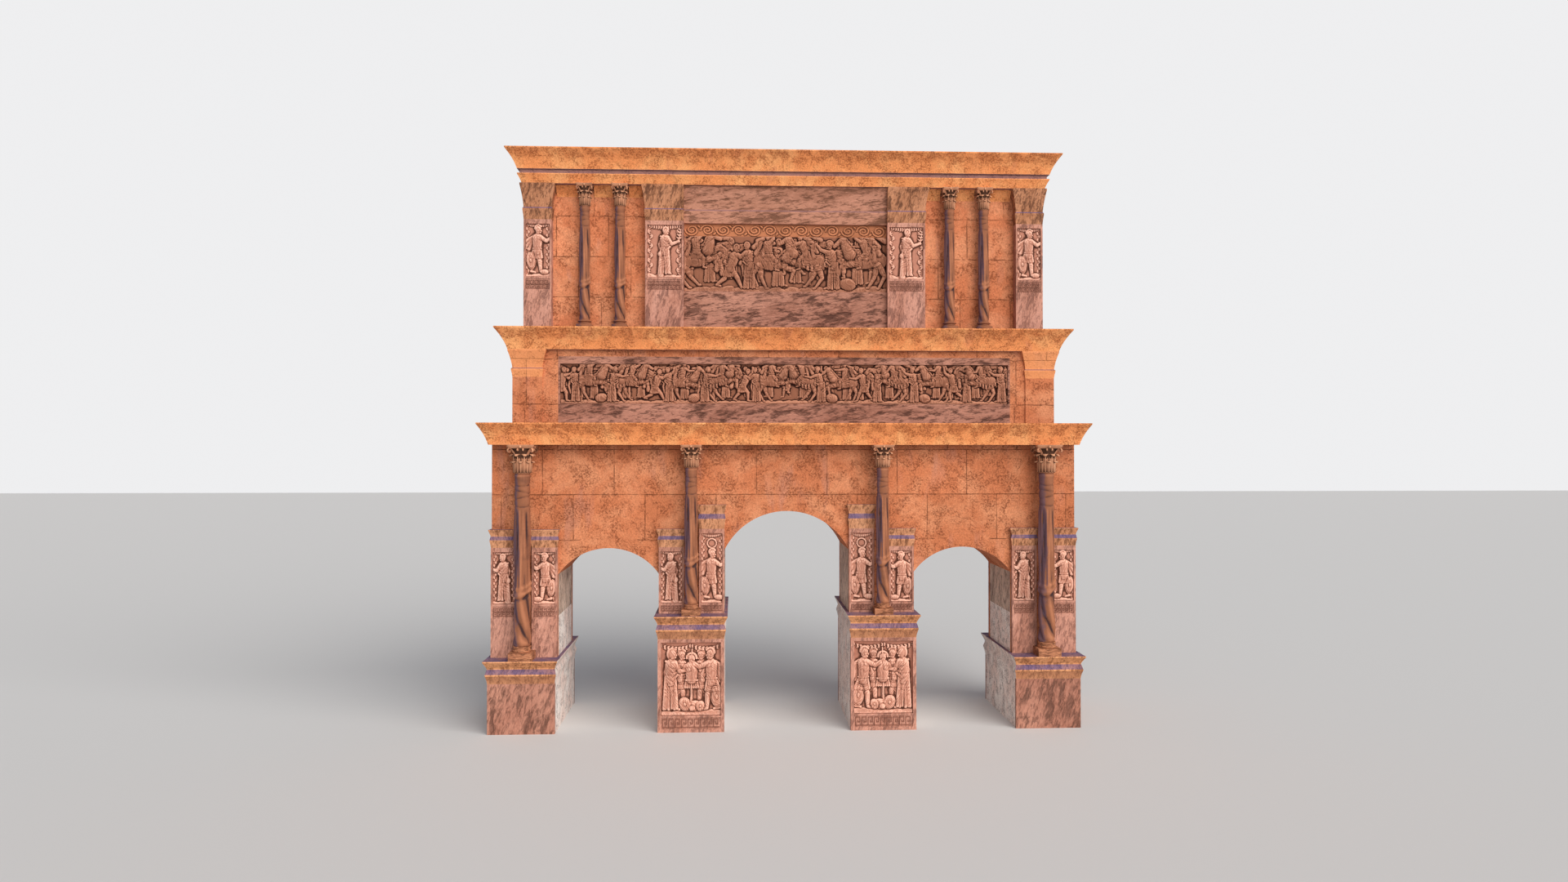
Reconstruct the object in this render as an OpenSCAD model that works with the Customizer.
// Three-bay triumphal arch: four pedestals and piers, three segmental arches,
// detached columns, a sculpted frieze storey and a colonnaded attic.
// Millimetres, +Z up, origin on the ground at the middle of the plan.
// The front faces -Y, and the back repeats it.

/* [Plan] */
// Clear width of the centre passage between the pedestals
centre_passage_w = 4140; // [3600:10:4600]
// Clear width of each side passage between the pedestals
side_passage_w = 3310; // [2900:10:3600]
// Width of a pier and its pedestal
pier_w = 2160; // [2040:10:2400]
// Depth of a pedestal, front to back
pedestal_d = 4300; // [4200:10:4500]
// Thickness of the main wall and the piers
wall_d = 3060; // [2900:10:3160]
// How far a pilaster stands out of the wall
pilaster_t = 140; // [100:5:170]

/* [Storey heights] */
// Ground to the top of an outer pedestal
outer_pedestal_h = 2390; // [2000:10:2700]
// Ground to the top of an inner pedestal
inner_pedestal_h = 3790; // [3500:10:3900]
// Ground to the underside of the lower cornice
main_storey_h = 9350; // [9000:10:9900]
// Height of the lower cornice
lower_cornice_h = 710; // [550:10:900]
// Height of the frieze storey
frieze_storey_h = 2460; // [2350:10:2800]
// Height of the middle cornice
middle_cornice_h = 720; // [550:10:900]
// Height of the attic walls and pilasters
attic_storey_h = 4860; // [4700:10:5200]
// Height of the attic architrave
architrave_h = 450; // [350:10:600]
// Height of the top cornice
top_cornice_h = 650; // [500:10:850]

/* [Arches] */
// Ground to the springing of the side arches
side_springing = 5080; // [4900:10:5200]
// Rise of the side arches
side_rise = 860; // [700:10:1100]
// Ground to the springing of the centre arch
centre_springing = 5860; // [5700:10:6000]
// Rise of the centre arch
centre_rise = 1290; // [1100:10:1500]
// Depth of the stones in an arch ring
ring_t = 450; // [300:10:550]

/* [Pedestals] */
// Height of a moulded pedestal cap
pedestal_cap_h = 760; // [600:10:850]
// Overhang of a pedestal cap to the sides
cap_side_out = 110; // [60:5:140]
// Overhang of a pedestal cap to the front and back
cap_front_out = 220; // [200:5:280]
// Depth of the field behind the carving on an inner pedestal
pedestal_field_t = 120; // [80:5:160]
// Thickness of the relief slab on an inner pedestal
pedestal_slab_t = 220; // [190:5:260]
// Width of the plain margin round the relief field
pedestal_margin = 110; // [80:5:150]
// Height of the key pattern band under the relief field
key_band_h = 430; // [350:10:500]
// Depth of the key pattern band
key_band_t = 25; // [15:5:40]

/* [Jambs] */
// Thickness of the stone slabs let into the passage sides
jamb_slab_t = 50; // [30:5:80]
// Width of pier left in front of and behind a jamb slab
jamb_return = 120; // [80:10:200]
// Ground to the joint between granite and veined slabs
jamb_joint_z = 3710; // [3200:10:3750]

/* [Pilasters] */
// Width of a pilaster on the main storey
pilaster_w = 835; // [780:5:880]
// Ground to the underside of the caps of the low pilasters
low_cap_z = 5980; // [5900:10:6100]
// Height of the caps of the low pilasters
low_cap_h = 590; // [450:10:700]
// Ground to the underside of the caps of the tall pilasters
tall_cap_z = 6575; // [6400:10:6700]
// Height of the caps of the tall pilasters
tall_cap_h = 795; // [600:10:900]
// Overhang of the pilaster caps
pilaster_cap_out = 70; // [40:5:85]
// Ground to the foot of the relief fields
pilaster_field_z = 4130; // [4080:10:4250]
// Plain margin at the sides of a relief field
pilaster_margin = 65; // [45:5:90]
// Plain margin over a relief field
pilaster_head = 145; // [100:5:180]
// Depth of a relief field
pilaster_field_t = 80; // [50:5:90]

/* [Columns] */
// Distance of the column axes in front of the main wall
column_out = 440; // [430:5:480]
// Diameter of an outer column shaft at its foot
column_d = 530; // [480:5:540]
// Width of the plinth under an outer column
plinth_w = 760; // [700:10:800]
// Height of the plinth under an outer column
plinth_h = 250; // [200:10:300]
// Height of the round mouldings over the plinth of an outer column
base_h = 190; // [150:10:240]
// How far the base mouldings stand out of an outer column shaft
base_out = 30; // [15:5:32]
// How much an outer column shaft draws in towards its head, in radius
shaft_taper = 20; // [5:5:40]
// Height of the roll at the head of an outer column shaft
shaft_roll_h = 60; // [40:5:100]
// How far that roll stands out
shaft_roll_out = 30; // [10:5:35]
// Height of an outer column capital
capital_h = 930; // [800:10:1000]
// Width of the abacus of an outer column capital
abacus_w = 880; // [820:10:900]

/* [Cornices] */
// Overhang of the lower cornice at the ends
lower_end_out = 320; // [200:10:450]
// Flat soffit of the lower cornice in front of the wall
lower_soffit = 570; // [500:10:600]
// Overhang of the lower cornice past its soffit
lower_front_out = 340; // [200:10:450]
// Overhang of the middle cornice
middle_out = 520; // [400:10:600]
// Overhang of the top cornice past the architrave
top_out = 350; // [300:10:450]
// Overhang of the architrave past the attic pilasters
architrave_out = 190; // [150:10:230]
// Flat soffit of the architrave past the attic pilasters
architrave_soffit = 60; // [30:5:100]
// Height of the recessed neck over the architrave's moulding
architrave_neck_h = 140; // [80:5:180]
// Depth of that neck
architrave_neck_in = 75; // [40:5:100]

/* [Frieze storey] */
// How far the frieze storey is set in at each end
frieze_set_in = 600; // [500:10:700]
// Depth of the frieze storey
frieze_d = 2500; // [2300:10:2700]
// Width of a corner pilaster
corner_pilaster_w = 980; // [800:10:1000]
// Length of a corner pilaster along the end wall
corner_pilaster_d = 820; // [700:10:880]
// How far a corner pilaster stands out of the frieze wall
corner_pilaster_t = 50; // [30:5:80]
// Height of a corner pilaster cap
corner_cap_h = 920; // [700:10:1000]
// Overhang of a corner pilaster cap
corner_cap_out = 140; // [80:5:180]
// Plain wall between a corner pilaster and the frieze panel
frieze_panel_inset = 520; // [400:10:700]
// Height of the plain strip of wall over the frieze panel
frieze_strip_h = 220; // [150:10:300]
// Thickness of the frieze panel
frieze_panel_t = 180; // [160:5:220]
// Height of the plain band under the frieze carving
frieze_foot = 670; // [500:10:750]
// Height of the plain band over the frieze carving
frieze_head = 240; // [120:5:300]
// Plain margin at each end of the frieze carving
frieze_margin = 60; // [40:5:100]
// Depth of the field behind the frieze carving
frieze_field_t = 120; // [80:5:140]

/* [Attic] */
// How far the attic is set in from the frieze storey at each end
attic_set_in = 315; // [250:5:380]
// Depth of the attic over its pilasters
attic_d = 2080; // [1980:10:2250]
// How far an attic pilaster stands out of the attic wall
attic_pilaster_t = 350; // [310:10:380]
// Width of a corner pilaster of the attic
attic_corner_w = 925; // [860:5:960]
// Length of a corner pilaster of the attic along the end wall
attic_corner_d = 700; // [600:10:780]
// Width of an inner pilaster of the attic
attic_inner_w = 1290; // [1200:10:1330]
// Width of the attic panel between the inner pilasters
attic_panel_w = 6900; // [6700:10:7000]
// How far the attic panel lies behind the pilaster faces
attic_panel_back = 140; // [120:5:160]
// Attic floor to the foot of the carved field
attic_field_z = 1310; // [1200:10:1400]
// Height of the plain strip over the carved field of the attic panel
attic_field_head = 50; // [30:5:120]
// Depth of the carved field of the attic panel
attic_field_t = 120; // [80:5:150]
// Height of the caps of the attic pilasters
attic_cap_h = 1200; // [1100:10:1230]
// Overhang of the caps of the attic pilasters
attic_cap_out = 120; // [80:5:150]
// Attic floor to the foot of the small relief fields
attic_relief_z = 1745; // [1650:5:1800]
// Distance of the inner colonnette axes from the middle
colonnette_x1 = 5585; // [5500:5:5650]
// Distance of the outer colonnette axes from the middle
colonnette_x2 = 6760; // [6700:5:6850]
// Diameter of a colonnette shaft
colonnette_d = 360; // [300:5:400]
// Width of the plinth under a colonnette
colonnette_plinth_w = 500; // [440:10:540]
// Height of the plinth under a colonnette
colonnette_plinth_h = 150; // [100:10:200]
// Height of the round mouldings under a colonnette
colonnette_base_h = 130; // [90:10:170]
// How far those mouldings stand out of the shaft
colonnette_base_out = 30; // [15:5:40]
// How much a colonnette shaft draws in towards its head, in radius
colonnette_taper = 12; // [4:2:24]
// Height of the roll at the head of a colonnette shaft
colonnette_roll_h = 45; // [30:5:70]
// How far that roll stands out
colonnette_roll_out = 26; // [10:2:36]
// Height of a colonnette capital
colonnette_capital_h = 740; // [600:10:800]
// Width of a colonnette abacus
colonnette_abacus_w = 560; // [480:10:580]
// Height of the bed moulding under the architrave
bed_mould_h = 360; // [250:10:450]
// Overhang of the bed moulding
bed_mould_out = 220; // [150:10:250]

/* [Hidden] */

// Number of straight steps that follow a curved moulding
curve_steps = 6;
// Sides of the large arcs, and of the turned pieces
arc_sides = 240;
turned_sides = 48;

// Plan
inner_pier_x0 = centre_passage_w / 2;
inner_pier_x1 = inner_pier_x0 + pier_w;
outer_pier_x0 = inner_pier_x1 + side_passage_w;
half_w = outer_pier_x0 + pier_w;
inner_axis_x = inner_pier_x0 + pier_w / 2;
outer_axis_x = outer_pier_x0 + pier_w / 2;
side_axis_x = (inner_pier_x1 + outer_pier_x0) / 2;
wall_y = wall_d / 2;
pilaster_y = wall_y + pilaster_t;
pedestal_y = pedestal_d / 2;
column_y = wall_y + column_out;

// Levels
lower_cornice_top = main_storey_h + lower_cornice_h;
frieze_top = lower_cornice_top + frieze_storey_h;
attic_floor = frieze_top + middle_cornice_h;
attic_top = attic_floor + attic_storey_h;
architrave_top = attic_top + architrave_h;
overall_h = architrave_top + top_cornice_h;

// Arch circles
function arch_radius(half_span, rise) = (half_span * half_span + rise * rise) / (2 * rise);
side_r = arch_radius(side_passage_w / 2, side_rise);
centre_r = arch_radius(centre_passage_w / 2, centre_rise);
side_centre_z = side_springing + side_rise - side_r;
centre_centre_z = centre_springing + centre_rise - centre_r;

// Frieze storey and attic plan
frieze_x = half_w - frieze_set_in;
frieze_y = frieze_d / 2;
frieze_wall_x = frieze_x - corner_pilaster_t;
frieze_wall_y = frieze_y - corner_pilaster_t;
frieze_panel_x = frieze_x - corner_pilaster_w - frieze_panel_inset;
frieze_panel_h = frieze_storey_h - frieze_strip_h;
attic_x = frieze_x - attic_set_in;
attic_y = attic_d / 2;
attic_wall_x = attic_x - attic_pilaster_t;
attic_wall_y = attic_y - attic_pilaster_t;
attic_panel_y = attic_y - attic_panel_back;
attic_inner_x = attic_panel_w / 2;
attic_cap_z = attic_top - attic_cap_h;
attic_field_top = attic_cap_z - attic_field_head;
colonnette_y = attic_wall_y + colonnette_abacus_w / 2;
colonnette_neck_r = colonnette_d / 2 - colonnette_taper;

// Stone colours
orange_stone = [0.80, 0.50, 0.35];
cornice_stone = [0.90, 0.58, 0.37];
pink_marble = [0.72, 0.50, 0.43];
relief_marble = [0.78, 0.56, 0.48];
brown_marble = [0.52, 0.37, 0.30];
ochre_stone = [0.66, 0.47, 0.30];
granite = [0.66, 0.61, 0.62];
column_stone = [0.62, 0.45, 0.36];

// A shallow hollow curve between two profile points, as steps of [out, up]
function flare(from, to, hollow) = [
    for (i = [0 : curve_steps])
        let (s = i / curve_steps)
            [from[0] + (to[0] - from[0]) * (s - 4 * hollow * s * (1 - s)), from[1] + (to[1] - from[1]) * s]
];

// Moulding profiles, as shares of the overhang and of the height
cornice_profile = concat(flare([0, 0], [1, 0.94], 0.12), [[1, 1]]);
cap_profile = concat(
    flare([0, 0], [0.5, 0.36], 0.15), [[0.5, 0.42], [0.1, 0.62]],
    flare([0.1, 0.66], [1, 0.95], 0.05), [[1, 1]]
);
attic_cap_profile = concat(
    flare([0, 0], [0.3, 0.26], 0.1), [[0.3, 0.31], [0.06, 0.34]],
    flare([0.06, 0.38], [1, 0.95], 0.12), [[1, 1]]
);
architrave_lip = 1 - architrave_neck_h / architrave_h;
architrave_neck = 1 - architrave_neck_in / (architrave_out - architrave_soffit);
architrave_profile = concat(
    flare([0, 0], [1, architrave_lip * 0.9], 0.08),
    [[1, architrave_lip], [architrave_neck, architrave_lip], [architrave_neck, 1]]
);

// The right-hand side of a course in section, mirrored about its middle
function course_section(half, out, h, profile) = concat(
    [for (p = profile) [half + out * p[0], h * p[1]]],
    [for (i = [len(profile) - 1 : -1 : 0]) [-half - out * profile[i][0], h * profile[i][1]]]
);

// A rectangular course whose moulding returns round all four sides
module moulded_course(half_x, half_y, h, out_x, out_y, profile) {
    intersection() {
        rotate([90, 0, 0])
            linear_extrude(height = 2 * (half_y + out_y) + 2, center = true)
                polygon(course_section(half_x, out_x, h, profile));
        rotate([90, 0, 90])
            linear_extrude(height = 2 * (half_x + out_x) + 2, center = true)
                polygon(course_section(half_y, out_y, h, profile));
    }
}

// A moulded block on a face at y0: the moulding returns on its front and both sides
module moulded_block(w, y0, y1, h, out, profile) {
    reach = y1 + out + 1;
    intersection() {
        moulded_course(w / 2, y1, h, out, out, profile);
        translate([-w, -reach, 0]) cube([2 * w, reach - y0, h]);
    }
}

// A box from its two corners
module block(low, high) {
    translate(low) cube(high - low);
}

// Both sides of the middle, left and right
module left_and_right() {
    children();
    mirror([1, 0, 0]) children();
}

// The front as drawn, or turned to the back
module on_side(back) {
    if (back) mirror([0, 1, 0]) children();
    else children();
}

// Pedestals

// A pedestal from x0 to x1, with pockets for the jamb slabs and the relief slabs
module pedestal(x0, x1, h, slab_sides, carved) {
    die_h = h - pedestal_cap_h;
    slab_end = carved ? pedestal_slab_t : jamb_return;
    color(pink_marble)
    difference() {
        block([x0, -pedestal_y, 0], [x1, pedestal_y, die_h]);
        for (side = slab_sides) jamb_slab(side < 0 ? x0 : x1, -side, 0, die_h, pedestal_y - slab_end);
        if (carved)
            for (back = [0, 1])
                on_side(back)
                    block([x0 - 1, -pedestal_y - 1, -1], [x1 + 1, pedestal_slab_t - pedestal_y, die_h + 1]);
    }
}

// A slab on the passage face at x: inward is +1 where the stone lies at larger x
module jamb_slab(x, inward, z0, z1, half_y) {
    low_x = inward > 0 ? x : x - jamb_slab_t;
    block([low_x, -half_y, z0], [low_x + jamb_slab_t, half_y, z1]);
}

module pedestal_cap(x0, x1, h) {
    color(ochre_stone)
    translate([(x0 + x1) / 2, 0, h - pedestal_cap_h])
        moulded_course((x1 - x0) / 2, pedestal_y, pedestal_cap_h, cap_side_out, cap_front_out, cap_profile);
}

// The relief slab of an inner pedestal: a field for carving over a key pattern band
module pedestal_panel() {
    die_h = inner_pedestal_h - pedestal_cap_h;
    x0 = inner_pier_x0;
    x1 = inner_pier_x1;
    face = -pedestal_y;
    field_z = pedestal_margin + key_band_h;
    difference() {
        block([x0, face, 0], [x1, face + pedestal_slab_t, die_h]);
        block([x0 + pedestal_margin, face - 1, field_z],
              [x1 - pedestal_margin, face + pedestal_field_t, die_h - pedestal_margin]);
        block([x0 + pedestal_margin, face - 1, pedestal_margin],
              [x1 - pedestal_margin, face + key_band_t, field_z - pedestal_margin / 2]);
    }
}

module pedestal_panels(back) {
    color(relief_marble) on_side(back) left_and_right() pedestal_panel();
}

// Piers, jamb slabs and pilasters

module outer_pier() {
    color(orange_stone)
    difference() {
        block([outer_pier_x0, -wall_y, outer_pedestal_h], [half_w, wall_y, side_springing]);
        jamb_slab(outer_pier_x0, 1, outer_pedestal_h, side_springing, wall_y - jamb_return);
    }
}

module inner_pier() {
    color(orange_stone)
    difference() {
        block([inner_pier_x0, -wall_y, inner_pedestal_h], [inner_pier_x1, wall_y, side_springing]);
        jamb_slab(inner_pier_x0, 1, inner_pedestal_h, side_springing, wall_y - jamb_return);
        jamb_slab(inner_pier_x1, -1, inner_pedestal_h, side_springing, wall_y - jamb_return);
    }
}

module granite_jamb_slabs() {
    carved_half = pedestal_y - pedestal_slab_t;
    inner_die_h = inner_pedestal_h - pedestal_cap_h;
    color(granite)
    left_and_right() {
        jamb_slab(outer_pier_x0, 1, 0, outer_pedestal_h - pedestal_cap_h, pedestal_y - jamb_return);
        jamb_slab(inner_pier_x0, 1, 0, inner_die_h, carved_half);
        jamb_slab(inner_pier_x1, -1, 0, inner_die_h, carved_half);
        jamb_slab(outer_pier_x0, 1, outer_pedestal_h, jamb_joint_z, wall_y - jamb_return);
    }
}

module veined_jamb_slabs() {
    half = wall_y - jamb_return;
    color(granite)
    left_and_right() {
        jamb_slab(outer_pier_x0, 1, jamb_joint_z, side_springing, half);
        jamb_slab(inner_pier_x1, -1, inner_pedestal_h, side_springing, half);
        jamb_slab(inner_pier_x0, 1, inner_pedestal_h, centre_springing, half);
    }
}

// A pilaster from x0, with its relief field and key pattern band
module pilaster(x0, foot, cap_z) {
    face = -pilaster_y;
    x1 = x0 + pilaster_w;
    band_z = max(foot + pilaster_margin, pilaster_field_z - key_band_h);
    difference() {
        block([x0, face, foot], [x1, -wall_y, cap_z]);
        block([x0 + pilaster_margin, face - 1, pilaster_field_z],
              [x1 - pilaster_margin, face + pilaster_field_t, cap_z - pilaster_head]);
        block([x0 + pilaster_margin, face - 1, band_z],
              [x1 - pilaster_margin, face + key_band_t, pilaster_field_z - pilaster_margin]);
    }
}

module pilasters(back) {
    color(relief_marble)
    on_side(back) left_and_right() {
        pilaster(outer_pier_x0, outer_pedestal_h, low_cap_z);
        pilaster(half_w - pilaster_w, outer_pedestal_h, low_cap_z);
        pilaster(inner_pier_x0, inner_pedestal_h, tall_cap_z);
        pilaster(inner_pier_x1 - pilaster_w, inner_pedestal_h, low_cap_z);
    }
}

module pilaster_cap(x0, z, h) {
    translate([x0 + pilaster_w / 2, 0, z])
        moulded_block(pilaster_w, wall_y, pilaster_y, h, pilaster_cap_out, cap_profile);
}

module pilaster_caps(back) {
    color(ochre_stone)
    on_side(back) left_and_right() {
        pilaster_cap(outer_pier_x0, low_cap_z, low_cap_h);
        pilaster_cap(half_w - pilaster_w, low_cap_z, low_cap_h);
        pilaster_cap(inner_pier_x0, tall_cap_z, tall_cap_h);
        pilaster_cap(inner_pier_x1 - pilaster_w, low_cap_z, low_cap_h);
    }
}

// The cap moulding carried along each end wall, between the front and back caps
module end_wall_imposts() {
    section = concat([[0, low_cap_h], [0, 0]],
                     [for (p = cap_profile) [pilaster_cap_out * p[0], low_cap_h * p[1]]]);
    color(ochre_stone)
    left_and_right()
        translate([half_w, wall_y, low_cap_z])
            rotate([90, 0, 0])
                linear_extrude(height = wall_d)
                    polygon(section);
}

// Arches and main wall

module along_y(r, z, half_y) {
    translate([0, 0, z]) rotate([90, 0, 0]) cylinder(h = 2 * half_y, r = r, center = true, $fn = arc_sides);
}

// A segmental ring of arch stones on level beds at its springing
module arch_ring(r, centre_z, springing) {
    color(orange_stone)
    intersection() {
        difference() {
            along_y(r + ring_t, centre_z, wall_y);
            along_y(r, centre_z, wall_y + 1);
        }
        block([-half_w, -wall_y, springing], [half_w, wall_y, main_storey_h]);
    }
}

module side_arch() {
    translate([side_axis_x, 0, 0]) arch_ring(side_r, side_centre_z, side_springing);
}

module centre_arch() {
    arch_ring(centre_r, centre_centre_z, centre_springing);
}

module main_wall() {
    color(orange_stone)
    difference() {
        block([-half_w, -wall_y, side_springing], [half_w, wall_y, main_storey_h]);
        left_and_right() {
            translate([side_axis_x, 0, 0]) along_y(side_r + ring_t, side_centre_z, wall_y + 1);
            jamb_slab(inner_pier_x0, 1, side_springing - 1, centre_springing, wall_y - jamb_return);
        }
        block([-inner_pier_x0, -wall_y - 1, side_springing - 1],
              [inner_pier_x0, wall_y + 1, centre_springing]);
        intersection() {
            along_y(centre_r + ring_t, centre_centre_z, wall_y + 1);
            block([-half_w, -wall_y - 1, centre_springing], [half_w, wall_y + 1, main_storey_h]);
        }
    }
}

// Columns

// Size of an inner column against an outer one, from the room over its pedestal
inner_column_scale = (main_storey_h - inner_pedestal_h) / (main_storey_h - outer_pedestal_h);
shaft_h = main_storey_h - outer_pedestal_h - plinth_h - base_h - capital_h;
base_r = column_d / 2 + base_out;
neck_r = column_d / 2 - shaft_taper;
roll_r = neck_r + shaft_roll_out;

// Places a column piece on each column axis of one side, z counted from its pedestal
module on_column_axes(back) {
    on_side(back) left_and_right() {
        translate([outer_axis_x, -column_y, outer_pedestal_h]) children();
        translate([inner_axis_x, -column_y, inner_pedestal_h]) scale(inner_column_scale) children();
    }
}

// Round base mouldings: two rolls with a hollow between them
module turned_base(r, h) {
    lower_roll = h * 0.42;
    upper_roll = h * 0.24;
    waist = r - h * 0.14;
    hollow_h = h - lower_roll - upper_roll;
    rotate_extrude($fn = turned_sides) {
        square([r - lower_roll / 2, lower_roll]);
        translate([r - lower_roll / 2, lower_roll / 2]) circle(d = lower_roll, $fn = turned_sides);
        translate([0, lower_roll]) square([waist, hollow_h]);
        translate([0, h - upper_roll]) square([waist, upper_roll]);
        translate([waist, h - upper_roll / 2]) circle(d = upper_roll, $fn = turned_sides);
    }
}

// The plinth reaches back to the pilaster faces behind it
module column_base(back_room) {
    translate([-plinth_w / 2, -plinth_w / 2, 0]) cube([plinth_w, plinth_w / 2 + back_room, plinth_h]);
    translate([0, 0, plinth_h]) turned_base(base_r, base_h);
}

module column_bases(back) {
    room = column_y - pilaster_y;
    color(column_stone)
    on_side(back) left_and_right() {
        translate([outer_axis_x, -column_y, outer_pedestal_h]) column_base(room);
        translate([inner_axis_x, -column_y, inner_pedestal_h])
            scale(inner_column_scale) column_base(room / inner_column_scale);
    }
}

// A shaft that swells a little and ends in a roll under the capital
module column_shaft() {
    foot_r = column_d / 2;
    plain_h = shaft_h - shaft_roll_h;
    swell = [for (i = [0 : 8]) let (s = i / 8) [neck_r + (foot_r - neck_r) * (1 - s * s), s * plain_h]];
    rotate_extrude($fn = turned_sides)
        polygon(concat([[0, 0]], swell, [[roll_r, plain_h], [roll_r, shaft_h], [0, shaft_h]]));
}

module column_shafts(back) {
    color(column_stone)
    on_column_axes(back) translate([0, 0, plinth_h + base_h]) column_shaft();
}

// A ring of leaves: one turned cup, cut into pointed tips by notches
module leaf_ring(r0, r1, h, leaf_t, count, phase) {
    tip_w = r1 * sin(180 / count);
    difference() {
        rotate_extrude($fn = turned_sides)
            polygon([[0, 0], [r0, 0], [r0 + (r1 - r0) * 0.25, h * 0.55], [r1, h * 0.86],
                     [r1 + leaf_t * 0.3, h * 0.94], [r1 - leaf_t * 0.2, h], [r1 - leaf_t, h * 0.93],
                     [r0 * 0.9, h * 0.6], [0, h * 0.6]]);
        for (i = [0 : count - 1])
            rotate([0, 0, phase + i * 360 / count])
                rotate([90, 0, 90])
                    linear_extrude(height = 2 * r1)
                        polygon([[0, h * 0.4], [tip_w * 0.5, h * 0.75], [tip_w * 0.85, h * 1.2],
                                 [-tip_w * 0.85, h * 1.2], [-tip_w * 0.5, h * 0.75]]);
    }
}

// A leafy capital: two rings of leaves on a bell, corner scrolls and a hollow-sided abacus
module leafy_capital(r, w, h) {
    abacus_h = h * 0.13;
    bell_r = w * 0.4;
    scroll_r = h * 0.1;
    scroll_at = w * 0.56;
    side_hollow_r = w * 1.1;
    rotate_extrude($fn = turned_sides)
        polygon(concat([[0, 0], [r, 0]],
                       flare([r, h * 0.3], [bell_r, h - abacus_h], 0.2),
                       [[0, h - abacus_h]]));
    leaf_ring(r, r * 1.32, h * 0.42, h * 0.09, 8, 22.5);
    leaf_ring(r * 0.98, r * 1.5, h * 0.7, h * 0.09, 8, 0);
    for (a = [45 : 90 : 315])
        rotate([0, 0, a]) {
            translate([scroll_at - scroll_r, 0, h - abacus_h - scroll_r])
                rotate([90, 0, 0]) cylinder(h = scroll_r, r = scroll_r, center = true, $fn = turned_sides);
            translate([bell_r * 0.7, -scroll_r / 2, h - abacus_h - scroll_r * 1.4])
                cube([scroll_at - scroll_r - bell_r * 0.7, scroll_r, scroll_r * 1.4]);
        }
    translate([0, 0, h - abacus_h])
        linear_extrude(height = abacus_h)
            difference() {
                square(w, center = true);
                for (a = [0 : 90 : 270])
                    rotate(a)
                        translate([w * 0.44 + side_hollow_r, 0])
                            circle(r = side_hollow_r, $fn = arc_sides);
            }
}

module column_capitals(back) {
    color(column_stone)
    on_column_axes(back)
        translate([0, 0, plinth_h + base_h + shaft_h])
            leafy_capital(neck_r, abacus_w, capital_h);
}

// Cornices

module lower_cornice() {
    color(cornice_stone)
    translate([0, 0, main_storey_h])
        moulded_course(half_w, wall_y + lower_soffit, lower_cornice_h,
                       lower_end_out, lower_front_out, cornice_profile);
}

module middle_cornice() {
    color(cornice_stone)
    translate([0, 0, frieze_top])
        moulded_course(frieze_x + corner_cap_out, frieze_y + corner_cap_out, middle_cornice_h,
                       middle_out - corner_cap_out, middle_out - corner_cap_out, cornice_profile);
}

module attic_architrave() {
    color(cornice_stone)
    translate([0, 0, attic_top])
        moulded_course(attic_x + architrave_soffit, attic_y + architrave_soffit, architrave_h,
                       architrave_out - architrave_soffit, architrave_out - architrave_soffit,
                       architrave_profile);
}

module top_cornice() {
    color(cornice_stone)
    translate([0, 0, architrave_top])
        moulded_course(attic_x + architrave_out, attic_y + architrave_out, top_cornice_h,
                       top_out, top_out, cornice_profile);
}

// Frieze storey

module frieze_wall() {
    color(orange_stone)
    difference() {
        block([-frieze_wall_x, -frieze_wall_y, lower_cornice_top],
              [frieze_wall_x, frieze_wall_y, frieze_top]);
        for (back = [0, 1])
            on_side(back)
                block([-frieze_panel_x, -frieze_wall_y - 1, lower_cornice_top - 1],
                      [frieze_panel_x, frieze_panel_t - frieze_wall_y, lower_cornice_top + frieze_panel_h]);
        left_and_right()
            for (back = [0, 1])
                on_side(back)
                    block([frieze_x - corner_pilaster_w, -frieze_y - 1, lower_cornice_top - 1],
                          [frieze_x + 1, corner_pilaster_d - frieze_y, frieze_top + 1]);
    }
}

module frieze_panel(back) {
    face = -frieze_wall_y;
    color(brown_marble)
    on_side(back)
        difference() {
            block([-frieze_panel_x, face, lower_cornice_top],
                  [frieze_panel_x, face + frieze_panel_t, lower_cornice_top + frieze_panel_h]);
            block([frieze_margin - frieze_panel_x, face - 1, lower_cornice_top + frieze_foot],
                  [frieze_panel_x - frieze_margin, face + frieze_field_t,
                   lower_cornice_top + frieze_panel_h - frieze_head]);
        }
}

// A corner pier of the frieze storey, with its cap carved on it and cut to fit the wall
module frieze_corner_pilaster() {
    half = corner_pilaster_w / 2;
    half_d = corner_pilaster_d / 2;
    color(orange_stone)
    difference() {
        translate([frieze_x - half, half_d - frieze_y, lower_cornice_top]) {
            block([-half, -half_d, 0], [half, half_d, frieze_storey_h]);
            translate([0, 0, frieze_storey_h - corner_cap_h])
                moulded_course(half, half_d, corner_cap_h,
                               corner_cap_out, corner_cap_out, attic_cap_profile);
        }
        block([0, -frieze_wall_y, lower_cornice_top],
              [frieze_x - corner_pilaster_w, frieze_wall_y, frieze_top + 1]);
        block([0, corner_pilaster_d - frieze_y, lower_cornice_top],
              [frieze_wall_x, frieze_wall_y, frieze_top + 1]);
    }
}

module frieze_corner_pilasters() {
    left_and_right() for (back = [0, 1]) on_side(back) frieze_corner_pilaster();
}

// Attic

module attic_wall() {
    color(orange_stone)
    block([-attic_wall_x, -attic_wall_y, attic_floor], [attic_wall_x, attic_wall_y, attic_top]);
}

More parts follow.
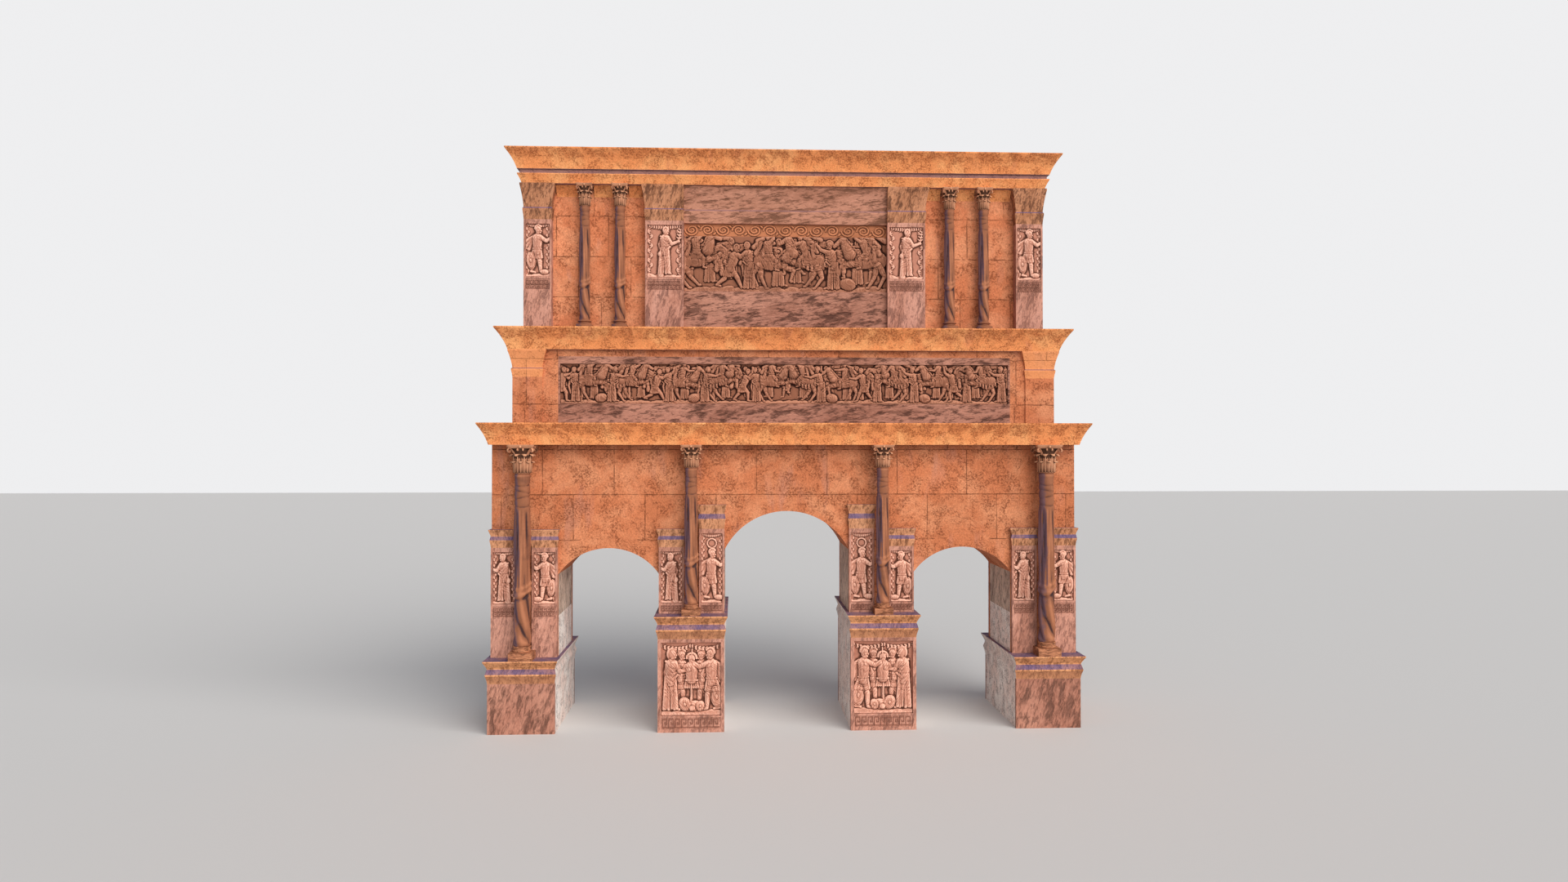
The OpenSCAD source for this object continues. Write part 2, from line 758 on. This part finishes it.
// The carved panel of the attic, under a moulded head that lines up with the pilaster caps
module attic_panel(back) {
    face = -attic_panel_y;
    color(brown_marble)
    on_side(back) {
        difference() {
            block([-attic_inner_x, face, attic_floor], [attic_inner_x, -attic_wall_y, attic_cap_z]);
            block([-attic_inner_x - 1, face - 1, attic_floor + attic_field_z],
                  [attic_inner_x + 1, face + attic_field_t, attic_field_top]);
        }
        intersection() {
            translate([0, 0, attic_cap_z])
                moulded_course(attic_inner_x, attic_panel_y, attic_cap_h,
                               0, attic_cap_out, attic_cap_profile);
            block([-attic_inner_x, face - attic_cap_out, attic_cap_z],
                  [attic_inner_x, -attic_wall_y, attic_top]);
        }
    }
}

// An attic pilaster from x0 to x1 with its relief field and key pattern band
module attic_pilaster(x0, x1, side_depth) {
    face = -attic_y;
    relief_z = attic_floor + attic_relief_z;
    difference() {
        block([x0, face, attic_floor], [x1, side_depth - attic_y, attic_cap_z]);
        block([x0 + pilaster_margin, face - 1, relief_z],
              [x1 - pilaster_margin, face + pilaster_field_t, attic_cap_z - pilaster_head]);
        block([x0 + pilaster_margin, face - 1, relief_z - key_band_h],
              [x1 - pilaster_margin, face + key_band_t, relief_z - pilaster_margin]);
    }
}

module attic_pilasters() {
    color(relief_marble)
    left_and_right() for (back = [0, 1]) on_side(back) {
        attic_pilaster(attic_inner_x, attic_inner_x + attic_inner_w, attic_pilaster_t);
        difference() {
            attic_pilaster(attic_x - attic_corner_w, attic_x, attic_corner_d);
            block([0, -attic_wall_y, attic_floor - 1], [attic_wall_x, attic_wall_y, attic_top]);
        }
    }
}

module attic_pilaster_caps() {
    corner_half = attic_corner_w / 2;
    corner_half_d = attic_corner_d / 2;
    color(ochre_stone)
    left_and_right() for (back = [0, 1]) on_side(back) {
        translate([attic_inner_x + attic_inner_w / 2, 0, attic_cap_z])
            intersection() {
                moulded_course(attic_inner_w / 2, attic_y, attic_cap_h,
                               attic_cap_out, attic_cap_out, attic_cap_profile);
                block([-attic_inner_w / 2, -attic_y - attic_cap_out, 0],
                      [attic_inner_w / 2 + attic_cap_out, -attic_wall_y, attic_cap_h]);
            }
        difference() {
            translate([attic_x - corner_half, corner_half_d - attic_y, attic_cap_z])
                moulded_course(corner_half, corner_half_d, attic_cap_h,
                               attic_cap_out, attic_cap_out, attic_cap_profile);
            block([0, -attic_wall_y, attic_floor], [attic_wall_x, attic_wall_y, attic_top + 1]);
        }
    }
}

// A length of bed moulding on the front wall from x0 to x1
module bed_mould(x0, x1) {
    section = concat([[0, bed_mould_h], [0, 0]],
                     [for (p = cornice_profile) [bed_mould_out * p[0], bed_mould_h * p[1]]]);
    translate([x0, -attic_wall_y, attic_top - bed_mould_h])
        rotate([90, 0, -90])
            mirror([0, 0, 1])
                linear_extrude(height = x1 - x0)
                    polygon(section);
}

module attic_bed_mouldings() {
    half_abacus = colonnette_abacus_w / 2;
    inner_cap_x = attic_inner_x + attic_inner_w + attic_cap_out;
    corner_cap_x = attic_x - attic_corner_w - attic_cap_out;
    color(cornice_stone)
    left_and_right() for (back = [0, 1]) on_side(back) {
        bed_mould(inner_cap_x, colonnette_x1 - half_abacus);
        bed_mould(colonnette_x1 + half_abacus, colonnette_x2 - half_abacus);
        bed_mould(colonnette_x2 + half_abacus, corner_cap_x);
    }
}

module on_colonnette_axes() {
    left_and_right() for (back = [0, 1]) on_side(back)
        for (x = [colonnette_x1, colonnette_x2])
            translate([x, -colonnette_y, attic_floor]) children();
}

// Base and shaft of a colonnette, cut from one stone
module colonnette() {
    r = colonnette_d / 2;
    shaft_z = colonnette_plinth_h + colonnette_base_h;
    stem_h = attic_storey_h - colonnette_capital_h - shaft_z;
    half_plinth = colonnette_plinth_w / 2;
    block([-half_plinth, -half_plinth, 0], [half_plinth, half_plinth, colonnette_plinth_h]);
    translate([0, 0, colonnette_plinth_h]) turned_base(r + colonnette_base_out, colonnette_base_h);
    translate([0, 0, shaft_z])
        rotate_extrude($fn = turned_sides)
            polygon([[0, 0], [r, 0], [colonnette_neck_r, stem_h - colonnette_roll_h],
                     [colonnette_neck_r + colonnette_roll_out, stem_h - colonnette_roll_h],
                     [colonnette_neck_r + colonnette_roll_out, stem_h], [0, stem_h]]);
}

module attic_colonnettes() {
    color(column_stone) on_colonnette_axes() colonnette();
}

module attic_colonnette_capitals() {
    color(column_stone)
    on_colonnette_axes()
        translate([0, 0, attic_storey_h - colonnette_capital_h])
            leafy_capital(colonnette_neck_r, colonnette_abacus_w, colonnette_capital_h);
}

mirror([1, 0, 0]) pedestal(outer_pier_x0, half_w, outer_pedestal_h, [-1], false);  // outer_left_pedestal
mirror([1, 0, 0]) pedestal(inner_pier_x0, inner_pier_x1, inner_pedestal_h, [-1, 1], true);  // inner_left_pedestal
pedestal(inner_pier_x0, inner_pier_x1, inner_pedestal_h, [-1, 1], true);  // inner_right_pedestal
pedestal(outer_pier_x0, half_w, outer_pedestal_h, [-1], false);  // outer_right_pedestal
mirror([1, 0, 0]) pedestal_cap(outer_pier_x0, half_w, outer_pedestal_h);  // outer_left_pedestal_cap
mirror([1, 0, 0]) pedestal_cap(inner_pier_x0, inner_pier_x1, inner_pedestal_h);  // inner_left_pedestal_cap
pedestal_cap(inner_pier_x0, inner_pier_x1, inner_pedestal_h);  // inner_right_pedestal_cap
pedestal_cap(outer_pier_x0, half_w, outer_pedestal_h);  // outer_right_pedestal_cap
pedestal_panels(0);  // front_pedestal_panels
pedestal_panels(1);  // back_pedestal_panels
granite_jamb_slabs();
veined_jamb_slabs();
mirror([1, 0, 0]) outer_pier();  // outer_left_pier
mirror([1, 0, 0]) inner_pier();  // inner_left_pier
inner_pier();  // inner_right_pier
outer_pier();  // outer_right_pier
pilasters(0);  // front_pilasters
pilasters(1);  // back_pilasters
pilaster_caps(0);  // front_pilaster_caps
pilaster_caps(1);  // back_pilaster_caps
end_wall_imposts();
mirror([1, 0, 0]) side_arch();  // left_arch
centre_arch();
side_arch();  // right_arch
main_wall();
column_bases(0);  // front_column_bases
column_shafts(0);  // front_column_shafts
column_capitals(0);  // front_column_capitals
column_bases(1);  // back_column_bases
column_shafts(1);  // back_column_shafts
column_capitals(1);  // back_column_capitals
lower_cornice();
frieze_wall();
frieze_panel(0);  // front_frieze_panel
frieze_panel(1);  // back_frieze_panel
frieze_corner_pilasters();
middle_cornice();
attic_wall();
attic_panel(0);  // front_attic_panel
attic_panel(1);  // back_attic_panel
attic_pilasters();
attic_pilaster_caps();
attic_bed_mouldings();
attic_colonnettes();
attic_colonnette_capitals();
attic_architrave();
top_cornice();
